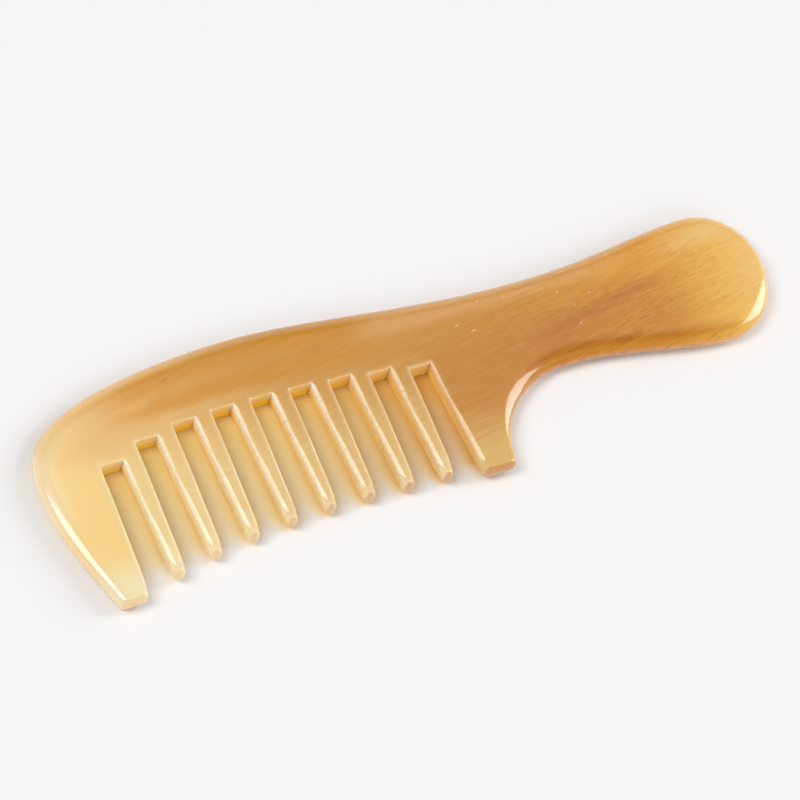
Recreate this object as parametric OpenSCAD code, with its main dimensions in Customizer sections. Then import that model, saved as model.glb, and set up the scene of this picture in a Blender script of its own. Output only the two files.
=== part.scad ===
// Wide tooth comb with a handle, sawn, filed and polished from one plate of horn.
// It lies on its face: X runs from the nose to the handle end, the teeth point
// along -Y, Z is the thickness. Millimetres. Heights in the outline sections are
// measured along Y from the front guard's tip, and distances along X from the nose.

/* [Plate] */
// Thickness of the polished plate through the back and the handle
plate_t = 5.6; // [5:0.1:6.6]
// Thickness left at the tips of the teeth and of the guards
tip_t = 4.4; // [3.8:0.1:4.8]
// Height below which the plate is filed thinner towards the tips
thinning_h = 26; // [20:0.5:26]

/* [Back] */
// Overall length, from the nose to the handle end
comb_length = 201.4; // [190:0.2:215]
// Height of the point where the nose stands furthest forward
nose_h = 33.6; // [31:0.2:36]
// Distance from the nose back to the brow, where the nose turns into the back
brow_x = 12.4; // [11:0.1:14]
// Height of the brow
brow_h = 52.8; // [51:0.2:55]
// Slope of the back at the brow, in degrees
brow_angle = 26; // [20:1:32]
// Distance from the nose to the crest of the back
crest_x = 59.8; // [54:0.2:64]
// Height of the crest of the back
crest_h = 60.4; // [59:0.1:65]
// Distance from the nose to the waist in the upper edge of the handle
waist_x = 135.8; // [130:0.2:142]
// Height of the waist
waist_h = 54.1; // [52:0.1:57]

/* [Handle] */
// Distance from the handle end to the highest point of the upper edge
grip_top_setback = 15.3; // [13:0.1:18]
// Height of the upper edge where the handle is widest
grip_top_h = 58.5; // [56:0.1:61]
// Height of the furthest point of the handle end
grip_end_h = 41.8; // [39:0.1:45]
// Distance from the handle end to the lowest point of the lower edge
grip_low_setback = 18; // [15:0.1:22]
// Height of the lower edge where the handle is widest
grip_low_h = 21.7; // [19:0.1:24]
// Distance from the nose to the top of the hollow under the handle
hollow_x = 138.9; // [136:0.1:144]
// Height of the top of the hollow
hollow_h = 28; // [26.5:0.1:30]

/* [Guards] */
// Width of the front guard tooth at its tip
front_tip_w = 7.9; // [7:0.1:8.6]
// Slope of the front guard's outer edge at its tip, in degrees from upright
front_lean = 17; // [12:1:20]
// Width of the rear guard tooth at its tip
rear_tip_w = 9.3; // [8:0.1:10.5]
// Height of the rear guard's tip
rear_tip_h = 5.2; // [3:0.1:7]
// Slope of the rear guard's outer edge at its tip, in degrees from upright
rear_lean = 8; // [4:1:12]
// Radius of the corners at both guards' tips
guard_corner_r = 2; // [1.4:0.1:2.4]
// Taper of each guard's inner wall from the root to the tip
guard_taper = 0.8; // [0.3:0.1:1.2]

/* [Teeth] */
// Number of teeth between the two guards
tooth_count = 8; // [6:1:8]
// Width of the gaps between the teeth
gap_w = 6; // [5.4:0.1:6.4]
// Width of a tooth at its root
tooth_w = 4.34; // [3.8:0.02:4.6]
// Distance from the nose to the front guard's inner wall
first_gap_x = 15.7; // [15:0.1:17]
// Height of the root of the first gap
root_front_h = 35.6; // [34:0.1:37.5]
// Height of the root of the last gap
root_rear_h = 37.7; // [36:0.1:39.5]
// Distance from the nose to where the roots stand highest
root_crown_x = 55; // [48:0.5:62]
// Height of the roots there
root_crown_h = 41.8; // [40:0.1:43]
// How far each saw cut ran past the root in a gap's corners
saw_overrun = 0.4; // [0.2:0.05:0.6]
// Width of a saw cut
saw_kerf = 0.8; // [0.5:0.05:1.2]
// Height of the first tooth's tip
tip_front_h = 3.2; // [1:0.1:5]
// Height of the last tooth's tip
tip_rear_h = 7.2; // [5:0.1:9]
// Slope of the tip line at the first tooth, in degrees
tip_front_angle = 14; // [8:1:18]
// Slope of the tip line at the last tooth, in degrees
tip_rear_angle = -3; // [-7:1:1]
// Width of a tooth across its blunt tip
tooth_tip_w = 3.1; // [2.7:0.1:3.3]
// Distance below the root over which a tooth keeps its square sawn section
sawn_length = 10; // [6:0.5:16]
// Width of the polished bevel along both faces of a tooth at its tip
bevel_w = 0.85; // [0.5:0.05:1.1]
// Height of that bevel, measured through the thickness
bevel_h = 1.3; // [0.8:0.1:1.6]

/* [Rounded rim] */
// Width of the rounding along the back
back_rim = 8; // [5:0.5:9]
// Width of the rounding round the nose
nose_rim = 4.5; // [3:0.5:5]
// Width of the rounding along the handle
handle_rim = 5; // [3.5:0.5:6]
// Width of the rounding round the handle end
end_rim = 3; // [2:0.5:4]
// Width of the rounding in the hollow under the handle
hollow_rim = 4; // [3:0.5:5]
// Width of the rounding along the outer edges of the guards
guard_rim = 2.6; // [2:0.2:3]
// Width of the rounding round the tips of the guards
tip_rim = 1.2; // [0.8:0.1:1.3]

/* [Hidden] */
stretch_steps = 11;       // points along each long stretch of the outline
corner_steps = 4;         // points along each small corner
rim_steps = 6;            // facets of the rim from the middle plane to a face
round_fn = 24;
overlap = 1;              // how far cutters run past what they cut
tooth_seat = 2.5;         // how far a tooth runs up into the plate above its root
tooth_step = 0.02;        // how far its faces lie below the plate's there
front_fall = 2.7;         // how sharply the roots drop from the crown to the first gap
rear_fall = 2.1;          // and from the crown to the last one
comb_height = crest_h;
half_t = plate_t / 2;
thinning = atan(((plate_t - tip_t) / 2) / thinning_h);

// Where the gaps and the teeth stand
pitch = gap_w + tooth_w;
function gap_x(i) = first_gap_x + i * pitch;
function tooth_x(i) = gap_x(i) + gap_w + tooth_w / 2;
last_wall_x = gap_x(tooth_count) + gap_w;

// Heights of a gap's root and of a tooth's tip
function root_h(x) =
    x < root_crown_x
        ? root_crown_h - (root_crown_h - root_front_h)
            * pow((root_crown_x - x) / (root_crown_x - first_gap_x - gap_w / 2), front_fall)
        : root_crown_h - (root_crown_h - root_rear_h)
            * pow((x - root_crown_x) / (last_wall_x - gap_w / 2 - root_crown_x), rear_fall);
function gap_root(i) = root_h(gap_x(i) + gap_w / 2);
function tip_h(i) =
    let (run = (tooth_count - 1) * pitch, t = i / (tooth_count - 1))
    tip_front_h * (1 - 3 * t * t + 2 * t * t * t) + tip_rear_h * (3 * t * t - 2 * t * t * t)
    + run * (tan(tip_front_angle) * (t - 2 * t * t + t * t * t)
             + tan(tip_rear_angle) * (t * t * t - t * t));

// A station of the outline: where it is, which way the edge runs there, how strongly the
// edge holds that direction before and after it, and how wide the rim is rounded
function station(at, heading, pull, rim) = [at, heading, pull, rim];
function along(angle, length) = length * [cos(angle), sin(angle)];
function mix3(a, b, c, d, t) =
    pow(1 - t, 3) * a + 3 * pow(1 - t, 2) * t * b + 3 * (1 - t) * t * t * c + t * t * t * d;
function slope3(a, b, c, d, t) =
    pow(1 - t, 2) * (b - a) + 2 * (1 - t) * t * (c - b) + t * t * (d - c);
function ease(t) = t * t * (3 - 2 * t);

// Points of one stretch between two stations: [position, inward normal, rim width]
function stretch(s, e, steps) =
    let (chord = norm(e[0] - s[0]),
         b = s[0] + along(s[1], s[2][1] * chord),
         c = e[0] - along(e[1], e[2][0] * chord))
    [for (k = [0 : steps - 1])
        let (t = k / steps, d = slope3(s[0], b, c, e[0], t))
        [mix3(s[0], b, c, e[0], t), [d[1], -d[0]] / norm(d), s[3] + (e[3] - s[3]) * ease(t)]];

// Pulls before and after each station, as shares of the stretch on that side
nose_pull = [0.4, 0.5];
brow_pull = [0.4, 0.22];
crest_pull = [0.38, 0.27];
waist_pull = [0.38, 0.48];
grip_top_pull = [0.25, 0.43];
grip_end_pull = [0.38, 0.42];
grip_low_pull = [0.37, 0.25];
hollow_pull = [0.35, 0.4];
arc_pull = [0.39, 0.39];
front_pull = [0.39, 0.26];

// The lower corners of the guards, and the way across the tooth field between them,
// where the blank's edge is cut away again
front_inner_x = first_gap_x - guard_taper;
front_outer_x = front_inner_x - front_tip_w;
rear_inner_x = last_wall_x + guard_taper;
rear_outer_x = rear_inner_x + rear_tip_w;
field_low_h = root_front_h / 2;
field_margin = 2 * guard_taper;

stations = [
    station([0, nose_h], 90, nose_pull, nose_rim),
    station([brow_x, brow_h], brow_angle, brow_pull, back_rim),
    station([crest_x, crest_h], 0, crest_pull, back_rim),
    station([waist_x, waist_h], 0, waist_pull, handle_rim),
    station([comb_length - grip_top_setback, grip_top_h], 0, grip_top_pull, handle_rim),
    station([comb_length, grip_end_h], -90, grip_end_pull, end_rim),
    station([comb_length - grip_low_setback, grip_low_h], 180, grip_low_pull, handle_rim),
    station([hollow_x, hollow_h], 180, hollow_pull, hollow_rim),
    station([rear_outer_x, rear_tip_h + guard_corner_r], -90 - rear_lean, arc_pull, guard_rim),
    station([rear_outer_x - guard_corner_r, rear_tip_h], 180, arc_pull, tip_rim),
    station([rear_inner_x + guard_corner_r, rear_tip_h], 180, arc_pull, tip_rim),
    station([rear_inner_x, rear_tip_h + guard_corner_r], 90, arc_pull, tip_rim),
    station([rear_inner_x - field_margin, field_low_h], 90, arc_pull, tip_rim),
    station([rear_inner_x - 2 * field_margin, field_low_h + field_margin], 180, arc_pull, tip_rim),
    station([front_inner_x + 2 * field_margin, field_low_h + field_margin], 180, arc_pull, tip_rim),
    station([front_inner_x + field_margin, field_low_h], -90, arc_pull, tip_rim),
    station([front_inner_x, guard_corner_r], -90, arc_pull, tip_rim),
    station([front_inner_x - guard_corner_r, 0], 180, arc_pull, tip_rim),
    station([front_outer_x + guard_corner_r, 0], 180, arc_pull, tip_rim),
    station([front_outer_x, guard_corner_r], 90 + front_lean, front_pull, guard_rim),
];

function stretch_count(s, e) =
    norm(e[0] - s[0]) > 4 * guard_corner_r ? stretch_steps : corner_steps;
outline = [for (i = [0 : len(stations) - 1])
    let (s = stations[i], e = stations[(i + 1) % len(stations)])
    each stretch(s, e, stretch_count(s, e))];

// The plate with its rim rounded all the way round, before the teeth are sawn.
// Each ring is the outline drawn in by a share of the rim, from one face to the other.
module blank() {
    count = len(outline);
    rings = 2 * rim_steps + 1;
    points = [for (j = [0 : rings - 1])
        let (a = 90 * (j / rim_steps - 1))
        for (p = outline)
            let (q = p[0] + p[1] * p[2] * (1 - cos(a)))
            [q[0], q[1], half_t * sin(a)]];
    sides = [for (j = [0 : rings - 2]) for (i = [0 : count - 1])
        let (n = (i + 1) % count)
        each [[j * count + i, j * count + n, (j + 1) * count + n],
              [j * count + i, (j + 1) * count + n, (j + 1) * count + i]]];
    bottom = [for (i = [0 : count - 1]) count - 1 - i];
    top = [for (i = [0 : count - 1]) (rings - 1) * count + i];
    polyhedron(points, concat(sides, [bottom, top]));
}

// Everything between the inner walls of the guards. Each gap ends square at its own root,
// with a nick in both corners where the saw cuts ran on; what lies between two gaps is
// inside a tooth.
module tooth_field() {
    run_on = tooth_w / 4;
    roots = [for (i = [0 : tooth_count])
        let (before = i > 0 ? run_on : 0, after = i < tooth_count ? run_on : 0, root = gap_root(i))
        each [[gap_x(i) - before, root + saw_overrun * (1 + before / saw_kerf)],
              [gap_x(i) + saw_kerf, root],
              [gap_x(i) + gap_w - saw_kerf, root],
              [gap_x(i) + gap_w + after, root + saw_overrun * (1 + after / saw_kerf)]]];
    linear_extrude(plate_t + 2 * overlap, center = true)
        polygon(concat(roots, [[rear_inner_x, -overlap], [front_inner_x, -overlap]]));
}

// The wedge filed off each face below the thinning line
module thinning_wedge() {
    translate([-overlap, thinning_h, half_t])
        rotate([thinning, 0, 0])
            translate([0, -2 * thinning_h, 0])
                cube([hollow_x + overlap, 2 * thinning_h, plate_t]);
}

// One tooth: square and sawn at the root, then bevelled on both faces to a blunt tip
module tooth(i) {
    low_root = min(gap_root(i), gap_root(i + 1));
    high_root = max(gap_root(i), gap_root(i + 1));
    tip = tip_h(i) + tooth_tip_w / 2;
    share = sawn_length / (low_root - tip);
    thin = plate_t - (plate_t - tip_t) * share;
    sawn_w = tooth_w - (tooth_w - tooth_tip_w) * share / 2;
    translate([tooth_x(i), 0, 0])
        hull() {
            translate([-tooth_w / 2, low_root - overlap, tooth_step - half_t])
                cube([tooth_w, high_root - low_root + tooth_seat + overlap, plate_t - 2 * tooth_step]);
            translate([-sawn_w / 2, low_root - sawn_length, -thin / 2])
                cube([sawn_w, overlap, thin]);
            translate([0, tip, 0])
                cylinder(d = tooth_tip_w, h = tip_t - 2 * bevel_h, center = true, $fn = round_fn);
            translate([0, tip, 0])
                cylinder(d = tooth_tip_w - 2 * bevel_w, h = tip_t, center = true, $fn = round_fn);
        }
}

module comb() {
    color("#d9a455")
        translate([-comb_length / 2, -comb_height / 2, half_t])
            union() {
                difference() {
                    blank();
                    tooth_field();
                    thinning_wedge();
                    mirror([0, 0, 1])
                        thinning_wedge();
                }
                for (i = [0 : tooth_count - 1])
                    tooth(i);
            }
}

comb();
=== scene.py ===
from math import cos, pi, radians, sin

import bpy
import numpy as np
from mathutils import Matrix, Vector, geometry, noise


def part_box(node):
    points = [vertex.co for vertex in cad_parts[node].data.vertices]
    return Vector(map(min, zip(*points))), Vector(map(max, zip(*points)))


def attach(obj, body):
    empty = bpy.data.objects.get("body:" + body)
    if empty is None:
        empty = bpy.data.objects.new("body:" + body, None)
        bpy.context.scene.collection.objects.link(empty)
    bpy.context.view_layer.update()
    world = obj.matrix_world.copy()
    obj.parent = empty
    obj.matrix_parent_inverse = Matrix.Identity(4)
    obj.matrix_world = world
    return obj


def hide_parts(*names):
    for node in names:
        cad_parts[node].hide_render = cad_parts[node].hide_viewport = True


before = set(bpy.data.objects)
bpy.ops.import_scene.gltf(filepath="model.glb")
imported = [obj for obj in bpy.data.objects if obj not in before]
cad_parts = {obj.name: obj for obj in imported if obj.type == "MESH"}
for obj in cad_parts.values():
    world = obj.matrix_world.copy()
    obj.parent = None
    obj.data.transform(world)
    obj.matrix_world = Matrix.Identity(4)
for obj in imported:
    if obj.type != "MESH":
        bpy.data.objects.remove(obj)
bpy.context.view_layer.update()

# ---------------------------------------------------------------------------------------
# The outline of the plate
# The comb is cut from one flat plate of pressed horn. Its outline is sawn along a drawn
# line and then rasped and polished, so it runs from one curve into the next without a
# corner, except at the blunt tips of the two guards.

# Sizes are in mm, from the nose along x and from the front guard's tip along y
MM = 0.001
low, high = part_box("comb")
nose_at = low.x / MM
tip_at = low.y / MM
comb_length = (high.x - low.x) / MM
crest_h = (high.y - low.y) / MM
plate_t = (high.z - low.z) / MM
half_t = plate_t / 2

gap_w = 6.0
tooth_w = 4.34
tooth_count = 8
pitch = gap_w + tooth_w
first_gap_x = 15.7
last_wall_x = first_gap_x + tooth_count * pitch + gap_w

guard_taper = 0.8
guard_corner_r = 2.0
front_guard_w = 7.9
rear_guard_w = 9.3
front_inner_x = first_gap_x - guard_taper
front_outer_x = front_inner_x - front_guard_w
rear_inner_x = last_wall_x + guard_taper
rear_outer_x = rear_inner_x + rear_guard_w
rear_tip_h = 5.2
front_lean = 17
rear_lean = 8

# How far in from the outline the polishing has rounded each rim
back_rim = 8.0
nose_rim = 4.5
handle_rim = 5.0
end_rim = 3.0
hollow_rim = 7.2
corner_rim = 2.3
tip_rim = 1.2

# Where each station is, the way the edge runs there in degrees, how strongly the edge
# holds that way before and after it, and how wide the rim is rounded
arc_pull = (0.39, 0.39)
outer_stations = [
    ((front_outer_x + guard_corner_r, 0), 180, arc_pull, tip_rim),
    ((front_outer_x, guard_corner_r), 90 + front_lean, (0.39, 0.26), corner_rim),
    ((0, 33.6), 90, (0.4, 0.5), nose_rim),
    ((12.4, 52.8), 26, (0.4, 0.22), back_rim),
    ((59.8, crest_h), 0, (0.38, 0.27), back_rim),
    ((135.8, 54.1), 0, (0.38, 0.48), handle_rim),
    ((comb_length - 15.3, 58.5), 0, (0.25, 0.43), handle_rim),
    ((comb_length, 41.8), -90, (0.38, 0.42), end_rim),
    ((comb_length - 18, 21.7), 180, (0.37, 0.25), handle_rim),
    ((138.9, 28), 180, (0.35, 0.4), hollow_rim),
    ((rear_outer_x, rear_tip_h + guard_corner_r), -90 - rear_lean, arc_pull, corner_rim),
    ((rear_outer_x - guard_corner_r, rear_tip_h), 180, arc_pull, tip_rim),
]


def stretch(start, end, spacing):
    """Rows of x, y, rim width, upright share and roughness along one curve of the outline."""
    (at, heading, pull, rim) = start
    (to, heading_to, pull_to, rim_to) = end
    a = np.array(at, float)
    d = np.array(to, float)
    chord = np.linalg.norm(d - a)
    b = a + pull[1] * chord * np.array([cos(radians(heading)), sin(radians(heading))])
    c = d - pull_to[0] * chord * np.array([cos(radians(heading_to)), sin(radians(heading_to))])
    t = np.linspace(0, 1, max(5, round(chord / spacing)), endpoint=False)[:, None]
    points = (1 - t) ** 3 * a + 3 * (1 - t) ** 2 * t * b + 3 * (1 - t) * t * t * c + t**3 * d
    eased = t * t * (3 - 2 * t)
    return np.hstack([points, rim + (rim_to - rim) * eased, np.zeros_like(t), np.zeros_like(t)])


polish_spacing = 0.7
loop = [stretch(s, e, polish_spacing) for s, e in zip(outer_stations, outer_stations[1:])]

# ---------------------------------------------------------------------------------------
# The gaps and the teeth
# Each gap takes two saw cuts, which run on a little past the root and leave a nick in
# both of its corners. The waste is broken out, so the root is left uneven. The teeth
# are then filed thinner and bevelled towards their blunt tips.

# Where the roots and the tips of the row lie
root_front_h, root_crown_h, root_rear_h = 35.6, 41.8, 37.7
root_crown_x = 55.0
front_fall, rear_fall = 2.7, 2.1
tip_front_h, tip_rear_h = 3.2, 7.2
tip_front_angle, tip_rear_angle = radians(14), radians(-3)
tip_front_slope = sin(tip_front_angle) / cos(tip_front_angle)
tip_rear_slope = sin(tip_rear_angle) / cos(tip_rear_angle)
tooth_tip_w = 3.1

# How the plate is thinned
thinned_from = 36.0
tip_half_t = 2.2
thinned_evenly = 0.6

# How the walls are sawn and filed: the broken edge, the bevel that opens below the sawn
# length, the shoulder filed near the root, and the blunt end
saw_spacing = 0.3
edge_break = 0.16
sawn_length = 10.0
bevel_w = 1.35
right_bevel = 0.9
rear_bevel = 1.5
front_bevel = 0.8
bevel_rise = 0.62
bevel_run = 11.0
bevel_eased = 0.6
shoulder_w = 0.65
shoulder_h = 0.42
shoulder_start = 1.5
shoulder_run = 16.0
shoulder_fade = 9
rear_shoulder = 0.4
blunt_run = 3.4
blunt_w = 1.0
blunt_h = 1.6
taper_curve = 1.2
tip_smoothing = 0.85
smoothing_curve = 1.2
tip_rough = 0.1

# How the roots are broken
nick_h = 0.42
nick_spread = 0.18
wall_nick_h = 0.36
bow_h = 0.22
least_bow = 0.3
chip_h = 0.06
chips_across = 7
chips_apart = 3.7
root_edge_w = 0.26
root_edge_h = 0.3
root_points = 26
arc_step = 12
rear_tip_points, front_tip_points = 8, 7


def gap_root(i):
    """The height of the root of a gap, on the crown curve of the row."""
    x = first_gap_x + i * pitch + gap_w / 2
    if x < root_crown_x:
        reach = root_crown_x - first_gap_x - gap_w / 2
        return root_crown_h - (root_crown_h - root_front_h) * ((root_crown_x - x) / reach) ** front_fall
    reach = last_wall_x - gap_w / 2 - root_crown_x
    return root_crown_h - (root_crown_h - root_rear_h) * ((x - root_crown_x) / reach) ** rear_fall


def tooth_tip(i):
    """The height of the tip of a tooth, on the flatter curve of the tips."""
    t = i / (tooth_count - 1)
    run = (tooth_count - 1) * pitch
    return (
        tip_front_h * (1 - 3 * t * t + 2 * t**3)
        + tip_rear_h * (3 * t * t - 2 * t**3)
        + run * tip_front_slope * (t - 2 * t * t + t**3)
        + run * tip_rear_slope * (t**3 - t * t)
    )


def half_thickness(y):
    """Half the thickness at a height, thinned towards the tips."""
    t = np.clip((thinned_from - y) / thinned_from, 0, 1)
    return half_t - (half_t - tip_half_t) * t * (thinned_evenly + (1 - thinned_evenly) * t)


def wall(x_root, y_root, x_tip, y_tip, bevel, filed=0.0):
    """A sawn wall from its root to its tip. A filed shoulder fades out where the bevel opens."""
    steps = round(abs(y_root - y_tip) / saw_spacing)
    t = np.linspace(0, 1, steps)
    y = y_root + (y_tip - y_root) * t
    x = x_root + (x_tip - x_root) * t**taper_curve
    below = y_root - sawn_length - y
    opening = np.clip(below / bevel_run, 0, 1)
    evenly = np.clip(below / (y_root - sawn_length - y_tip), 0, 1)
    opened = bevel_eased * opening**2 * (3 - 2 * opening) + (1 - bevel_eased) * evenly
    down = y_root - y
    fading = np.clip((shoulder_run - down) / shoulder_fade, 0, 1)
    shoulder = filed * np.clip(down / shoulder_start, 0, 1) * fading
    blunt = np.clip(1 - (y - y_tip) / blunt_run, 0, 1) ** 2
    width = edge_break + (bevel - edge_break) * opened + shoulder_w * shoulder
    height = edge_break + (bevel * bevel_rise - edge_break) * opened + shoulder_h * shoulder
    width += (blunt_w - width) * blunt
    height += (blunt_h - height) * blunt
    upright = 1 - height / half_thickness(y)
    rough = 1 - tip_smoothing * (down / (y_root - y_tip)) ** smoothing_curve
    return np.stack([x, y, width, upright, rough], 1)


def root_line(i):
    """The end of a gap, from right to left, with its nicks and its broken middle."""
    left_x = first_gap_x + i * pitch
    u = np.linspace(0, 1, root_points)[1:-1]
    nick = nick_h * np.exp(-((np.minimum(u, 1 - u) * gap_w) ** 2) / nick_spread)
    bow = bow_h * (1 - (2 * u - 1) ** 2) * (least_bow + (1 - least_bow) * noise.random())
    chips = np.array([chip_h * noise.noise(Vector((chips_across * t, chips_apart * i, 0))) for t in u])
    x = left_x + gap_w * (1 - u)
    y = gap_root(i) + nick + bow + chips
    plain = np.ones_like(u)
    upright = 1 - root_edge_h / half_thickness(y)
    return np.stack([x, y, root_edge_w * plain, upright, plain], 1)


def tip_arc(centre_x, centre_y, r, start, end):
    """A rounded corner at a tip, from one angle to another in degrees, blunted by the file."""
    steps = max(6, round(abs(end - start) / arc_step))
    a = np.radians(np.linspace(start, end, steps + 2)[1:-1])
    plain = np.ones_like(a)
    x = centre_x + r * np.cos(a)
    y = centre_y + r * np.sin(a)
    upright = 1 - blunt_h / tip_half_t
    return np.stack([x, y, blunt_w * plain, upright * plain, tip_rough * plain], 1)


def flat_tip(x, y):
    """The straight end of a guard, along the given points."""
    plain = np.ones_like(x)
    return np.stack([x, y * plain, tip_rim * plain, 0 * plain, 0 * plain], 1)


noise.seed_set(5)

# Rear guard: its tip, its inner corner and its inner wall up to the last root
rear_root = gap_root(tooth_count) + wall_nick_h
rear_corner_x = rear_inner_x + guard_corner_r
rear_corner_y = rear_tip_h + guard_corner_r
rear_flat = np.linspace(rear_outer_x - guard_corner_r, rear_corner_x, rear_tip_points)
loop.append(flat_tip(rear_flat, rear_tip_h))
loop.append(tip_arc(rear_corner_x, rear_corner_y, guard_corner_r, -90, -180))
rear_wall = wall(last_wall_x, rear_root, rear_inner_x, rear_corner_y, rear_bevel, rear_shoulder)
loop.append(rear_wall[::-1])

# The teeth from the last to the first, each between two roots
tip_r = tooth_tip_w / 2
for i in range(tooth_count, 0, -1):
    loop.append(root_line(i))
    centre = first_gap_x + i * pitch - tooth_w / 2
    tip_y = tooth_tip(i - 1) + tip_r
    right_root = gap_root(i) + wall_nick_h
    left_root = gap_root(i - 1) + wall_nick_h
    loop.append(wall(centre + tooth_w / 2, right_root, centre + tip_r, tip_y, right_bevel))
    loop.append(tip_arc(centre, tip_y, tip_r, 0, -180))
    loop.append(wall(centre - tooth_w / 2, left_root, centre - tip_r, tip_y, bevel_w, 1.0)[::-1])
loop.append(root_line(0))

# Front guard: its inner wall down to its corner, and its tip
front_root = gap_root(0) + wall_nick_h
front_corner_x = front_inner_x - guard_corner_r
loop.append(wall(first_gap_x, front_root, front_inner_x, guard_corner_r, front_bevel))
loop.append(tip_arc(front_corner_x, guard_corner_r, guard_corner_r, 0, -90))
front_flat = np.linspace(front_corner_x, front_outer_x + guard_corner_r, front_tip_points)
loop.append(flat_tip(front_flat[1:-1], 0))
edge = np.vstack(loop)

# ---------------------------------------------------------------------------------------
# The comb
# One solid of horn. The rim is drawn in from the outline ring by ring, over the whole
# half thickness where it is polished and over a narrow broken edge where it is sawn,
# and the two faces close it.

closest = 0.02
rim_smoothing = 3
wall_steps = 9
round_steps = 12
file_flat = 0.6
flat_share = 0.4
support = 0.12
saw_relief = 0.05
saw_grain = 0.55
fine_grain = 2.3
fine_share = 0.6
smooth_enough = 0.02
grid_step = 1.5
row_step = 0.87
grid_clearance = 0.4
polish_wave = 0.03
wave_length, wave_width = 26, 13
wave_fade = 5


def smoothed(values, passes):
    """The values round the outline, each eased towards its two neighbours."""
    for _ in range(passes):
        values = 0.25 * np.roll(values, 1, 0) + 0.5 * values + 0.25 * np.roll(values, -1, 0)
    return values


keep = np.linalg.norm(edge[:, :2] - np.roll(edge[:, :2], 1, 0), axis=1) > closest
edge = edge[keep]
edge[:, 2:] = smoothed(edge[:, 2:], rim_smoothing)
path = edge[:, :2]
tangent = np.roll(path, -1, 0) - np.roll(path, 1, 0)
tangent /= np.linalg.norm(tangent, axis=1)[:, None]
inward = np.stack([tangent[:, 1], -tangent[:, 0]], 1)
count = len(edge)
rim_w, upright, rough = edge[:, 2], edge[:, 3], edge[:, 4]

rings = []
ring_inset = []
ring_sawn = []
wall_share = wall_steps / (wall_steps + round_steps) * np.sqrt(np.clip(upright, 0, 1))
squared = 1 + file_flat * np.clip(upright / flat_share, 0, 1)
for u in np.linspace(0, 1, wall_steps + round_steps + 1):
    on_wall = u < wall_share
    rise = np.where(on_wall, u / np.maximum(wall_share, 1e-6), 1)
    angle = np.where(on_wall, 0, (u - wall_share) / (1 - wall_share)) * pi / 2
    drawn_in = rim_w * (1 - np.cos(angle).clip(0, 1) ** squared)
    points = path + inward * drawn_in[:, None]
    z = half_thickness(points[:, 1]) * (upright * rise + (1 - upright) * np.sin(angle) ** squared)
    rings.append(np.column_stack([points, z]))
    ring_inset.append(drawn_in)
    ring_sawn.append(rough * np.cos(angle))
points = path + inward * (rim_w + support)[:, None]
rings.append(np.column_stack([points, half_thickness(points[:, 1])]))
ring_inset.append(rim_w + support)
ring_sawn.append(np.zeros(count))


def saw_bumps(points, amount):
    """How far the rough sawn skin stands in or out at each point."""
    bumps = []
    for p, a in zip(points, amount):
        if a < smooth_enough:
            bumps.append(0.0)
            continue
        coarse = noise.noise(Vector(p) / saw_grain)
        fine = noise.noise(Vector(p) * fine_grain / saw_grain + Vector((9, 4, 2)))
        bumps.append(a * saw_relief * (coarse + fine_share * fine))
    return np.array(bumps)


# Both halves: the middle ring once, then the upper rings, then the lower ones
upper = list(rings)
lower = [ring * np.array([1, 1, -1]) for ring in rings[1:]]
shells = upper + lower
for shell in shells:
    bumps = saw_bumps(shell, rough)
    shell[:, :2] += inward * bumps[:, None]


def inside(points, polygon):
    """True for each point that lies inside the closed polygon."""
    result = np.zeros(len(points), bool)
    ax, ay = polygon[:, 0], polygon[:, 1]
    bx, by = np.roll(ax, -1), np.roll(ay, -1)
    for n, (x, y) in enumerate(points):
        crosses = (ay > y) != (by > y)
        cut_x = ax[crosses] + (y - ay[crosses]) * (bx - ax)[crosses] / (by - ay)[crosses]
        result[n] = np.count_nonzero(cut_x > x) % 2 == 1
    return result


# The faces: a staggered grid of points inside the last ring, joined by triangles
inner = upper[-1][:, :2]
xs = np.arange(1, comb_length, grid_step)
ys = np.arange(1, crest_h, grid_step * row_step)
grid = np.array([(x + (j % 2) * grid_step / 2, y) for j, y in enumerate(ys) for x in xs])
grid = grid[inside(grid, inner)]
clear = np.array([np.min(np.sum((inner - g) ** 2, 1)) for g in grid]) ** 0.5
roomy = clear > grid_clearance * grid_step
grid, clear = grid[roomy], clear[roomy]
grid_inset = np.array([np.min(np.sum((path - g) ** 2, 1)) for g in grid]) ** 0.5

flat_points = [Vector(p) for p in inner] + [Vector(p) for p in grid]
ring_edges = [(n, (n + 1) % count) for n in range(count)]
face_points, _, face_tris, origins, *_ = geometry.delaunay_2d_cdt(flat_points, ring_edges, [], 1, 1e-5)

verts = [tuple(p) for shell in shells for p in shell]
inset_values = list(np.concatenate(ring_inset + ring_inset[1:]))
sawn_values = list(np.concatenate(ring_sawn + ring_sawn[1:]))
top_ring = (len(upper) - 1) * count
bottom_ring = (len(shells) - 1) * count


def face_height(x, y, from_rim):
    """Height of the polished face, which the buffing wheel leaves a little wavy."""
    wave = noise.noise(Vector((x / wave_length, y / wave_width, 0.3)))
    fade = min(from_rim / wave_fade, 1)
    return half_thickness(y) - polish_wave * (0.5 + 0.5 * wave) * fade * fade * (3 - 2 * fade)


top_map, bottom_map = {}, {}
for n, p in enumerate(face_points):
    on_ring = [origin for origin in origins[n] if origin < count]
    if on_ring:
        top_map[n] = top_ring + on_ring[0]
        bottom_map[n] = bottom_ring + on_ring[0]
        continue
    at = origins[n][0] - count
    z = face_height(p.x, p.y, clear[at])
    top_map[n] = len(verts)
    verts.append((p.x, p.y, z))
    bottom_map[n] = len(verts)
    verts.append((p.x, p.y, -z))
    inset_values += [grid_inset[at]] * 2
    sawn_values += [0.0, 0.0]

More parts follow.
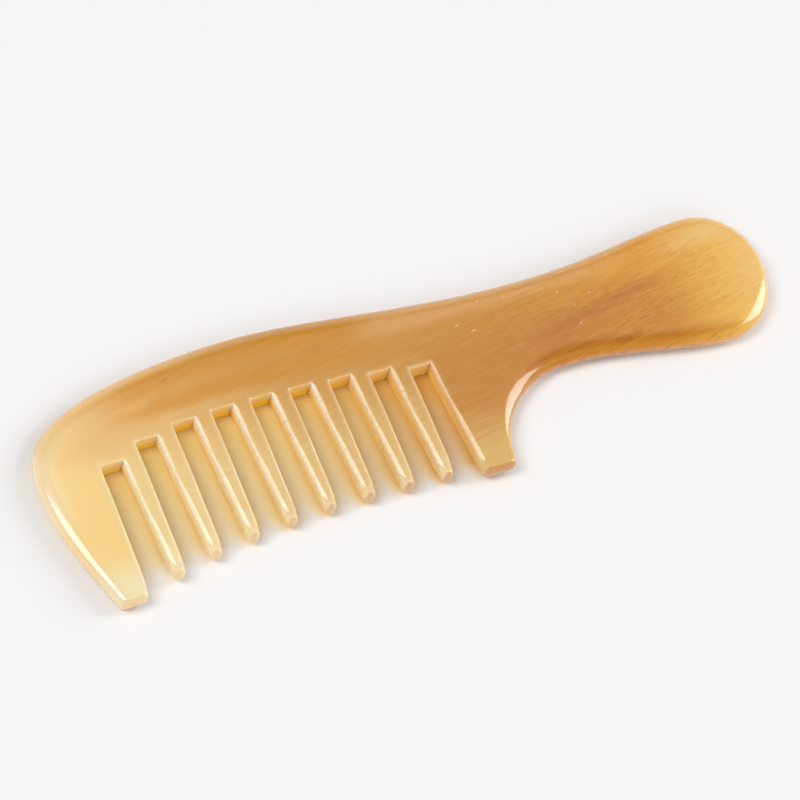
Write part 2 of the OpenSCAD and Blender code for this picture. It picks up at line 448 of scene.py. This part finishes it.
faces = []
chain_up = [k * count for k in range(len(upper))]
chain_down = [0] + [(len(upper) + k) * count for k in range(len(lower))]
for chain, flip in ((chain_up, False), (chain_down, True)):
    for a, b in zip(chain, chain[1:]):
        for n in range(count):
            m = (n + 1) % count
            quad = (a + n, b + n, b + m, a + m)
            faces.append(quad[::-1] if flip else quad)
for a, b, c in face_tris:
    pa, pb, pc = face_points[a], face_points[b], face_points[c]
    if (pb - pa).cross(pc - pa) < 0:
        b, c = c, b
    faces.append((top_map[a], top_map[b], top_map[c]))
    faces.append((bottom_map[a], bottom_map[c], bottom_map[b]))

corner_at = np.array([nose_at, tip_at, half_t])
verts = [tuple((np.array(v) + corner_at) * MM) for v in verts]
mesh = bpy.data.meshes.new("comb_horn")
mesh.from_pydata(verts, [], faces)
mesh.validate()
mesh.shade_smooth()
for name, values in (("inset", inset_values), ("sawn", sawn_values)):
    layer = mesh.attributes.new(name, "FLOAT", "POINT")
    layer.data.foreach_set("value", values)
comb = bpy.data.objects.new("comb_horn", mesh)
bpy.context.scene.collection.objects.link(comb)
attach(comb, "root")
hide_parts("comb")

# ---------------------------------------------------------------------------------------
# The polished horn of the comb
# Ox horn, pressed flat and buffed to a gloss: a clear honey-coloured keratin, pale and
# see-through at the nose and the teeth, cloudier and browner towards the handle.


def linear(code):
    """An sRGB hex colour as linear red, green, blue and alpha."""
    parts = [int(code[n:n + 2], 16) / 255 for n in (0, 2, 4)]
    return tuple(p / 12.92 if p <= 0.04045 else ((p + 0.055) / 1.055) ** 2.4 for p in parts) + (1.0,)


def add(tree, kind, inputs=None, **settings):
    """Adds a node, sets its settings, and sets or links its inputs by name or number."""
    node = tree.nodes.new(kind)
    for name, value in settings.items():
        setattr(node, name, value)
    for name, value in (inputs or {}).items():
        socket = node.inputs[name]
        if isinstance(value, bpy.types.NodeSocket):
            tree.links.new(value, socket)
        else:
            socket.default_value = value
    return node


# Polished horn gives the eye a deep warm colour with soft drifts in it, under a thin sharp
# shine. Where light passes through real horn, a paler or brighter stain stands in for it.
horn = bpy.data.materials.new("polished_horn")
horn.use_nodes = True
tree = horn.node_tree
tree.nodes.clear()

# Places on the comb in mm, from the nose, from the front guard's tip and from the table
spot = add(tree, "ShaderNodeTexCoord").outputs["Object"]
plan = add(tree, "ShaderNodeVectorMath", {
    0: spot, 1: (1 / MM,) * 3, 2: (-nose_at, -tip_at, 0),
}, operation="MULTIPLY_ADD").outputs[0]
axes = add(tree, "ShaderNodeSeparateXYZ", {0: plan})
along_x, along_y, along_z = axes.outputs[0], axes.outputs[1], axes.outputs[2]


def zone(*limits):
    """How far a spot lies within all the limits. Each is (value, where it is 0, where it is 1),
    eased between the two, or a share to multiply by. It adds to the tree in hand."""
    share = None
    for limit in limits:
        if isinstance(limit, tuple):
            value, start, end = limit
            spans = {"Value": value, "From Min": start, "From Max": end}
            limit = add(tree, "ShaderNodeMapRange", spans, interpolation_type="SMOOTHSTEP").outputs[0]
        if share is None:
            share = limit
        else:
            share = add(tree, "ShaderNodeMath", {0: share, 1: limit}, operation="MULTIPLY").outputs[0]
    return share


def stained(under, stain, *limits):
    """The colour under a stain, which is as strong as its limits and strengths multiply to."""
    stain = linear(stain) if isinstance(stain, str) else stain
    return add(tree, "ShaderNodeMix", {0: zone(*limits), 6: under, 7: stain}, data_type="RGBA").outputs[2]


def cloud(length, width, turned, detail=2.0, seed=0.0):
    """Noise drawn out along the horn: its length and width in mm, and its slant in degrees."""
    laid = add(tree, "ShaderNodeMapping", {
        "Vector": plan, "Location": (seed, seed, seed), "Rotation": (0, 0, radians(turned)),
        "Scale": (length, width, length),
    }, vector_type="TEXTURE").outputs[0]
    return add(tree, "ShaderNodeTexNoise", {"Vector": laid, "Scale": 1.0, "Detail": detail}).outputs["Fac"]


def patch(x, y, length, width, turned, soft=0.5):
    """An oval on the face, 1 in its middle and 0 outside it. Sizes in mm."""
    through = 1000
    laid = add(tree, "ShaderNodeMapping", {
        "Vector": plan, "Location": (x, y, 0), "Rotation": (0, 0, radians(turned)),
        "Scale": (length / 2, width / 2, through),
    }, vector_type="TEXTURE").outputs[0]
    far = add(tree, "ShaderNodeVectorMath", {0: laid}, operation="LENGTH").outputs["Value"]
    return zone((far, 1, 1 - soft))


# The cloudy body, from the clear nose over the browner middle to the clear amber end. Its
# drifts are about 40 mm long and 14 mm wide, and move the colours by up to 14 mm.
drift_reach = 14
drift = add(tree, "ShaderNodeMath", {
    0: cloud(40, 14, 8, 1.0), 1: drift_reach, 2: along_x,
}, operation="MULTIPLY_ADD").outputs[0]
way_along = add(tree, "ShaderNodeMath", {
    0: drift, 1: comb_length + drift_reach / 2,
}, operation="DIVIDE").outputs[0]
body = add(tree, "ShaderNodeValToRGB", {0: way_along})
# The pale nose end of these colours is partly painted light: it is brighter where light comes through the
# thin clear horn
body_colours = [
    (0.03, "F5DCAA"), (0.1, "F1C67E"), (0.19, "E3B062"), (0.36, "CA9038"), (0.52, "C88B33"),
    (0.7, "CC8C2A"), (0.84, "DD992A"), (0.93, "E9B550"), (1.0, "EFC274"),
]
ramp = body.color_ramp
while len(ramp.elements) < len(body_colours):
    ramp.elements.new(0.5)
for element, (position, code) in zip(ramp.elements, body_colours):
    element.position = position
    element.color = linear(code)
colour = body.outputs["Color"]

# The belly of the handle and the rear guard are browner
colour = stained(colour, "BF7A22", (along_y, 46, 35), (along_x, 98, 108), (along_x, 186, 168), 0.55)

# The front guard is clear
colour = stained(colour, "F4D180", (along_y, 46, 30), (along_x, 24, 12), 0.75)

# The teeth are clear below a slanting line, and a little less so towards the rear
teeth_slant = 0.12
slant = add(tree, "ShaderNodeMath", {
    0: along_x, 1: teeth_slant, 2: along_y,
}, operation="MULTIPLY_ADD").outputs[0]
clearness = add(tree, "ShaderNodeMapRange", {
    "Value": along_x, "From Min": 30, "From Max": 75, "To Min": 0.84, "To Max": 0.6,
}).outputs[0]
colour = stained(colour, "E8D092", (slant, 58, 22), (along_x, 104, 99), (along_x, 12, 16), clearness)

# The ends of the teeth, the front tip and the rear tip are paler still. The nose's rounded edge is painted
# pale, a painted milky sheen of light on its rim
colour = stained(colour, "F3E4BE", (along_y, 16, 6), (along_x, 16, 19), (along_x, 99, 97), 0.5)
colour = stained(colour, "EEE2B8", (along_y, 15, 2), (along_x, 24, 15), 0.8)
colour = stained(colour, "FFEBC8", (along_x, 7, 2), (along_y, 18, 28), (along_y, 46, 40), 0.4)
colour = stained(colour, "DFB96A", (along_y, 26, 8), (along_x, 100, 104), 0.8)

# A warmer blush over the first roots
colour = stained(colour, "E0A250", patch(20, 42, 34, 17, 8, 0.9), 0.34)

# A golden band is painted below the back: painted light, for light gathered inside the horn under the
# rounded rim
inset = add(tree, "ShaderNodeAttribute", attribute_name="inset").outputs["Fac"]
below_back = zone((inset, 1.6, 4.2), (inset, 11.0, 6.0), (along_y, 42, 47))
colour = stained(colour, "CE8A12", below_back, (along_x, 10, 36), (along_x, 98, 84), 0.72)

# A brown seam in broken streaks runs above the handle's lower edge, in a softer glow
streaks = zone((cloud(9, 1.2, 5, 2.0, 2.0), 0.25, 0.6))
above_edge = zone((inset, 1.3, 2.8), (inset, 5.0, 3.0), (along_y, 41, 34))
colour = stained(colour, "A45C06", above_edge, (along_x, 120, 140), (along_x, 182, 162), streaks, 0.7)
round_seam = zone((inset, 1.0, 2.6), (inset, 6.0, 3.0), (along_y, 42, 34))
colour = stained(colour, "BE7210", round_seam, (along_x, 122, 136), (along_x, 190, 180), 0.4)

# The upper part of the handle and its end are painted lighter: a painted glow for light that comes through
# the horn there
colour = stained(colour, "E9B97C", (along_y, 46.5, 50.5), (along_x, 84, 100), (along_x, 172, 150), 0.35)
colour = stained(colour, "F0C88C", patch(188, 52, 36, 10, 4, 0.9), 0.36)

# A red-brown smear slants up the handle, in wisps about 16 mm long
wisps = zone((cloud(16, 2.6, 12, 3.0, 4.0), 0.25, 0.7))
colour = stained(colour, "BA6417", patch(154, 40, 74, 14, 13, 0.9), wisps, 0.68)

# Fibres of the horn, darker and paler. Real ones are too fine to show in the render, so
# they are drawn 0.6 mm wide and 9 mm long.
fibres = cloud(9, 0.6, 9, 3.0)
handle_fibres = add(tree, "ShaderNodeMapRange", {
    "Value": along_x, "From Min": 90, "From Max": 104, "To Min": 1.0, "To Max": 1.35,
}).outputs[0]
woolly = zone((along_x, 14, 60), handle_fibres)
colour = stained(colour, "A0621C", (fibres, 0.48, 0.75), woolly, 0.12)
colour = stained(colour, "F0CE8E", (fibres, 0.5, 0.25), woolly, 0.08)

# Sawn walls are left rough by the saw. The honey all over them and the amber low down are painted glow,
# for light that comes through real horn and off the golden table they mirror. The white above is partly
# the real frosted skin and partly painted glints where the lamp lights the top of the walls, with a ragged
# line between
sawn = add(tree, "ShaderNodeAttribute", attribute_name="sawn").outputs["Fac"]
facing = add(tree, "ShaderNodeSeparateXYZ", {0: add(tree, "ShaderNodeNewGeometry").outputs["Normal"]})
sideways = add(tree, "ShaderNodeMath", {0: facing.outputs[0]}, operation="ABSOLUTE").outputs[0]
wall_amber = add(tree, "ShaderNodeMapRange", {
    "Value": along_x, "From Min": 30, "From Max": 106, "To Min": 2.0, "To Max": 3.3,
}).outputs[0]
amber_top = add(tree, "ShaderNodeMapRange", {
    "Value": sideways, "From Max": 0.7, "To Min": 3.6, "To Max": wall_amber,
}).outputs[0]
under_top = add(tree, "ShaderNodeMath", {0: amber_top, 1: along_z}, operation="SUBTRACT").outputs[0]
ragged_reach = 1.8
ragged = add(tree, "ShaderNodeMath", {
    0: cloud(0.9, 0.9, 0, 2.0, 3.0), 1: ragged_reach, 2: -ragged_reach / 2,
}, operation="MULTIPLY_ADD").outputs[0]
below = add(tree, "ShaderNodeMath", {0: under_top, 1: ragged}).outputs[0]
amber_left = add(tree, "ShaderNodeMapRange", {
    "Value": along_x, "From Min": 70, "From Max": 104, "To Min": 0.97, "To Max": 0.75,
}).outputs[0]
frost_and_glints_left = add(tree, "ShaderNodeMapRange", {
    "Value": along_x, "From Min": 70, "From Max": 104, "To Min": 1.0, "To Max": 0.35,
}).outputs[0]
# The white frost is partly the real scratched skin and partly painted glints where the lamp lights the top
# of the walls
grains = zone((cloud(0.7, 0.7, 0, 2.0), 0.25, 0.55))
frost_and_glints = zone(sawn, (sideways, 0.0, 0.6), (under_top, 0.6, -1.2), grains, frost_and_glints_left)
# Painted glow: honey over the sawn walls and amber low down, for light that comes through the horn and off
# the golden table
colour = stained(colour, "FBD08A", sawn, 0.7)
colour = stained(colour, "FFC814", sawn, (below, -0.3, 0.9), amber_left)
colour = stained(colour, "FFFBF2", frost_and_glints)

# The edges between the teeth and their faces are paler
pale_edge = zone((inset, 1.3, 0.1), (along_y, 44, 38))
colour = stained(colour, "F4E2B0", pale_edge, (along_x, 12, 14), (along_x, 107, 104), 0.3)

# The rounded rim of the back is painted with a milky sheen, a painted reflection, weaker along the crest
crest = zone((along_x, 40, 70), (along_x, 165, 140))
crest_clearing = 0.75
off_crest = add(tree, "ShaderNodeMath", {
    0: crest, 1: -crest_clearing, 2: 1.0,
}, operation="MULTIPLY_ADD").outputs[0]
colour = stained(colour, "F0C090", (inset, 4.0, 0.5), (along_y, 44, 49), off_crest, 0.22)

# The filed ends of the teeth and the guards, which face down the comb, are peach at the front
# and turn brown towards the rear
end_colour = stained(linear("EBC88E"), "BF7B44", (along_x, 16, 104))
colour = stained(colour, end_colour, (facing.outputs[1], -0.25, -0.75), (along_y, 15, 11), 0.7)

# The outer rims of the back and the handle are painted a darker red-brown where they turn under, a painted
# shade, and painted lighter low down, a painted glow for the light that the table throws back
outer_rim = add(tree, "ShaderNodeMath", {
    0: zone((along_y, 43, 46)), 1: zone((along_x, 114, 122)),
}, operation="MAXIMUM").outputs[0]
colour = stained(colour, "D58B55", (inset, 1.0, 0.0), outer_rim, 0.35)
colour = stained(colour, "F4C488", (along_z, 2.6, 1.0), (inset, 4.0, 1.5), (sawn, 0.8, 0.0), 0.6)

# The front guard's outer edge is painted paler, so that the glint on it comes out cream and not yellow,
# and it has less gloss
glint_edge = zone((inset, 3.6, 1.6), (along_x, 12, 9.5), (along_y, 42, 34), (along_y, 0, 3))
colour = stained(colour, "EAD2B6", glint_edge, 0.35)

# Pores: short dark dashes along the grain, thickest on the handle, and dark hairs between
# them. Real ones are too fine to show in the render, so the pores stand in cells of 4.4 by
# 0.3 mm, and the hairs are drawn 0.35 mm wide.
lane = add(tree, "ShaderNodeMapping", {
    "Vector": plan, "Rotation": (0, 0, radians(11)), "Scale": (4.4, 0.3, 8),
}, vector_type="TEXTURE").outputs[0]
cell = add(tree, "ShaderNodeTexVoronoi", {"Vector": lane, "Scale": 1.0}, voronoi_dimensions="2D")
cell_share = add(tree, "ShaderNodeSeparateColor", {0: cell.outputs["Color"]}).outputs[0]
pored = zone(
    (along_x, 104, 150), (cloud(22, 7, 10, 1.0, 9.0), 0.3, 0.6), (along_y, 58, 44), (along_x, 202, 172),
)
pores = zone((cell.outputs["Distance"], 0.45, 0.12), (cell_share, 0.3, 1.0), pored)
colour = stained(colour, "AC5C14", pores, 0.75)
colour = stained(colour, "AC6018", (cloud(5.5, 0.35, 12, 2.0, 6.0), 0.52, 0.7), pored, 0.5)

# One dark fleck under the back, with a fainter trail
colour = stained(colour, "955C0A", patch(38.9, 53.3, 3.6, 0.7, 18, 0.8), 0.6)
colour = stained(colour, "B8740C", patch(41.5, 54.2, 7, 1.1, 14, 0.9), 0.3)

# Saw marks across the faces of the rear teeth. Real ones are too fine to show in the
# render, so they are drawn 0.32 mm wide.
saw_marks = zone((cloud(2.4, 0.32, 4, 2.0, 11.0), 0.52, 0.7), (along_y, 25, 20), (along_y, 8, 12))
colour = stained(colour, "D79650", saw_marks, (along_x, 50, 55), (along_x, 101, 96), 0.4)

# A few pale nicks in the polish of the handle: where each is, its length and its slant
nick_w = 0.36
nicked = 0.0
for x, y, length, turned in (
    (115, 45.6, 1.9, 12), (118.6, 43, 2.2, 8), (123, 50.5, 1.2, 20), (130, 49.8, 1.1, -30),
    (144, 47, 1.6, 14), (146.7, 42, 1.2, -40), (146, 36.7, 1.8, 30), (152, 44.5, 1.0, 10),
):
    nicked = add(tree, "ShaderNodeMath", {
        0: patch(x, y, length, nick_w, turned, 0.8), 1: nicked,
    }, operation="MAXIMUM").outputs[0]
colour = stained(colour, "F8E2C2", nicked, 0.7)

# The buffed skin has a sharp gloss over a softer one. The sawn walls have no gloss, and the
# front guard's outer edge has less. Red light is scattered over about 3 mm in the horn, and blue least.
horn_ior = 1.54
gloss_roughness = 0.06
buffed_roughness, sawn_roughness = 0.2, 0.5
gloss_lost = 0.35
light_share = 0.25
light_depth = 3 * MM
light_spread = (1.0, 0.5, 0.15)
skin = add(tree, "ShaderNodeMapRange", {
    "Value": sawn, "To Min": buffed_roughness, "To Max": sawn_roughness,
}).outputs[0]
glint_edge_gloss = add(tree, "ShaderNodeMath", {
    0: glint_edge, 1: -gloss_lost, 2: 1.0,
}, operation="MULTIPLY_ADD").outputs[0]
gloss = zone((sawn, 0.42, 0.0), glint_edge_gloss)
shader = add(tree, "ShaderNodeBsdfPrincipled", {
    "Base Color": colour, "Roughness": skin, "IOR": horn_ior,
    "Coat Weight": gloss, "Coat Roughness": gloss_roughness,
    "Subsurface Weight": light_share, "Subsurface Radius": light_spread, "Subsurface Scale": light_depth,
})
add(tree, "ShaderNodeOutputMaterial", {"Surface": shader.outputs[0]})
mesh.materials.append(horn)

# ---------------------------------------------------------------------------------------
# The table
# A sheet of matt white paper that the comb lies on, plain, with soft shadows. Between the
# teeth it is tinted as by light that has come through the horn.

table_reach = 0.75
sheet_z = -0.02 * MM
shade_reach = 9 * MM

paper = bpy.data.materials.new("matt_paper")
paper.use_nodes = True
tree = paper.node_tree
tree.nodes.clear()
spot = add(tree, "ShaderNodeTexCoord").outputs["Object"]
laid = add(tree, "ShaderNodeVectorMath", {
    0: spot, 1: (1 / MM,) * 3, 2: (-nose_at, -tip_at, 0),
}, operation="MULTIPLY_ADD").outputs[0]
axes = add(tree, "ShaderNodeSeparateXYZ", {0: laid})
table_x, table_y = axes.outputs[0], axes.outputs[1]
shade = add(tree, "ShaderNodeAmbientOcclusion", {"Distance": shade_reach}, samples=12).outputs["AO"]
beside_teeth = zone((table_y, 3, 12), (table_y, 48, 42), (table_x, 12, 16), (table_x, 116, 106))
honey = stained(linear("EED387"), "DEAC4E", (table_x, 60, 110))
tint = stained(linear("F1F0F0"), honey, (shade, 0.84, 0.5), beside_teeth, 0.95)
sheet = add(tree, "ShaderNodeBsdfDiffuse", {"Color": tint})
add(tree, "ShaderNodeOutputMaterial", {"Surface": sheet.outputs[0]})

floor_mesh = bpy.data.meshes.new("table_sheet")
corners = [(x, y, sheet_z) for x, y in ((-1, -1), (1, -1), (1, 1), (-1, 1))]
corners = [(x * table_reach, y * table_reach, z) for x, y, z in corners]
floor_mesh.from_pydata(corners, [], [(0, 1, 2, 3)])
floor_mesh.materials.append(paper)
floor = bpy.data.objects.new("table_sheet", floor_mesh)
bpy.context.scene.collection.objects.link(floor)

# ---------------------------------------------------------------------------------------
# The studio
# A pale room that is brighter near the horizon, a large soft lamp to the left, another low
# on the right, and two weaker ones that fill the shadows and veil the gloss. In metres.

room_top, room_low = 0.16, 0.75
dim_above, bright_below = radians(30), radians(20)
scene = bpy.context.scene
world = bpy.data.worlds.new("pale_room")
scene.world = world
world.use_nodes = True
tree = world.node_tree
tree.nodes.clear()
way = add(tree, "ShaderNodeTexCoord").outputs["Generated"]
height = add(tree, "ShaderNodeSeparateXYZ", {0: way}).outputs[2]
room_glow = add(tree, "ShaderNodeMapRange", {
    "Value": height, "From Min": sin(dim_above), "From Max": sin(bright_below),
    "To Min": room_top, "To Max": room_low,
}).outputs[0]
room = add(tree, "ShaderNodeBackground", {"Color": (1, 1, 1, 1), "Strength": room_glow})
add(tree, "ShaderNodeOutputWorld", {"Surface": room.outputs[0]})


def softbox(name, place, aim, size, glow):
    """A flat lamp of the given radiance, facing the point it is aimed at."""
    data = bpy.data.lights.new(name, "AREA")
    data.shape = "RECTANGLE"
    data.size, data.size_y = size
    data.energy = pi * size[0] * size[1] * glow
    lamp = bpy.data.objects.new(name, data)
    lamp.location = place
    lamp.rotation_euler = (Vector(aim) - Vector(place)).to_track_quat("-Z", "Y").to_euler()
    scene.collection.objects.link(lamp)
    return lamp


softbox("main_left", (-0.836, 0.178, 1.134), (0, 0, 0), (0.67, 0.87), 5.9)
softbox("low_right", (1.176, -0.103, 0.655), (0, 0, 0), (0.68, 0.95), 4.6)
fill = softbox("fill_front", (0.15, -1.2, 0.8), (0, 0, 0), (1.6, 0.7), 1.6)
fill.visible_glossy = False
softbox("veil_overhead", (0.5, 0.65, 1.2), (0.5, 0.65, 0), (1.2, 1.3), 0.4)

# The camera looks down over the front guard, rolled so that the comb runs uphill
aimed_x, aimed_y = 92.57, 30.3
azimuth, elevation, roll = radians(-40.97), radians(57.94), radians(20)
distance = 0.8
sensor_w, focal_length = 36, 146.77
target = Vector((nose_at + aimed_x, tip_at + aimed_y, plate_t)) * MM
towards = Vector((sin(azimuth) * cos(elevation), -cos(azimuth) * cos(elevation), sin(elevation)))
right = (-towards).cross(Vector((0, 0, 1))).normalized()
up = right.cross(-towards)
rolled_right = cos(roll) * right + sin(roll) * up
rolled_up = -sin(roll) * right + cos(roll) * up
turn = Matrix((rolled_right, rolled_up, towards)).transposed().to_4x4()
camera = bpy.data.objects.new("camera", bpy.data.cameras.new("camera"))
camera.matrix_world = Matrix.Translation(target + distance * towards) @ turn
camera.data.sensor_width = sensor_w
camera.data.lens = focal_length
camera.data.clip_start = 0.05
scene.collection.objects.link(camera)
scene.camera = camera
scene.view_settings.view_transform = "Standard"

bpy.context.view_layer.update()
